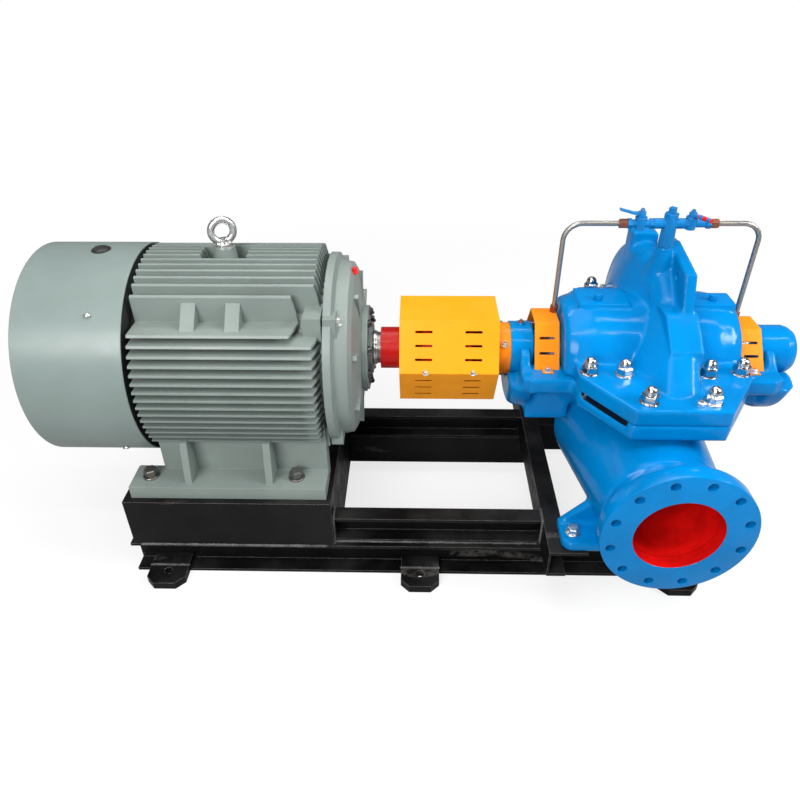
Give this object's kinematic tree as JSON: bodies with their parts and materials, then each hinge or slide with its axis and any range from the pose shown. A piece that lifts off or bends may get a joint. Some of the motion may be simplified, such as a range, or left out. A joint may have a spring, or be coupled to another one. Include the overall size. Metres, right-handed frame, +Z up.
{
  "type": "split case pump",
  "caption": "Horizontal split case pump and foot mounted finned motor with guarded coupling on a welded channel base.",
  "frame": {"origin": "floor level at the centre of the foundation bolts", "axes": "+X along the shaft from motor to pump, +Y towards the discharge side, +Z up"},
  "size_m": [1.8528, 0.89, 0.8858],
  "materials": {
    "frame_black": "gloss black paint",
    "motor_grey": "satin grey-green paint",
    "cowl_grey": "satin grey-green paint on sheet",
    "fan_black": "moulded",
    "zinc": "bright zinc",
    "bright_steel": "machined",
    "hub_red": "gloss red paint",
    "guard_yellow": "yellow paint on folded sheet",
    "guard_orange": "orange paint on folded sheet",
    "pump_blue": "thick gloss blue paint",
    "stainless": "drawn tube",
    "copper_nut": "dull copper"
  },
  "bodies": {
    "plant": {"front_rail": "frame_black", "back_rail": "frame_black", "left_cross_member": "frame_black", "middle_cross_member": "frame_black", "right_cross_member": "frame_black", "front_upper_channel": "frame_black", "back_inner_channel": "frame_black", "back_upper_channel": "frame_black", "pump_cross_beam": "frame_black", "end_cross_beam": "frame_black", "motor_pedestal": "frame_black", "foundation_lugs": "frame_black", "motor_frame": "motor_grey", "drive_end_shield": "motor_grey", "drive_bearing_cap": "motor_grey", "rear_end_shield": "motor_grey", "fan_cowl": "cowl_grey", "eye_bolt": "zinc", "terminal_box": "motor_grey", "coupling_guard": "guard_yellow", "guard_ring": "guard_orange", "lower_casing": "pump_blue", "upper_casing": "pump_blue", "drive_bearing": "pump_blue", "outer_bearing": "pump_blue", "seal_glands": "bright_steel", "drive_seal_guard": "guard_orange", "outer_seal_guard": "guard_orange", "tee_fitting": "pump_blue", "left_cock": "pump_blue", "right_cock": "pump_blue", "left_tube": "stainless", "right_tube": "stainless", "tube_nuts": "copper_nut", "casing_plugs": "pump_blue"},
    "rotor": {"motor_shaft": "bright_steel", "cooling_fan": "fan_black", "motor_hub": "hub_red", "pump_hub": "hub_red", "pump_shaft": "bright_steel"},
    "left_cock_lever": {"left_lever": "pump_blue"},
    "right_cock_lever": {"right_lever": "pump_blue"}
  },
  "joints": [
    {"name": "rotor_spin", "type": "hinge", "parent": "plant", "child": "rotor", "pos_m": [0, 0, 0.525], "axis": [1, 0, 0], "continuous": true},
    {"name": "left_cock_turn", "type": "hinge", "parent": "plant", "child": "left_cock_lever", "pos_m": [0.502, 0.02, 0.863], "axis": [0, 0, 1], "range_deg": [0, 90]},
    {"name": "right_cock_turn", "type": "hinge", "parent": "plant", "child": "right_cock_lever", "pos_m": [0.618, 0.02, 0.863], "axis": [0, 0, 1], "range_deg": [-30, 60]}
  ]
}
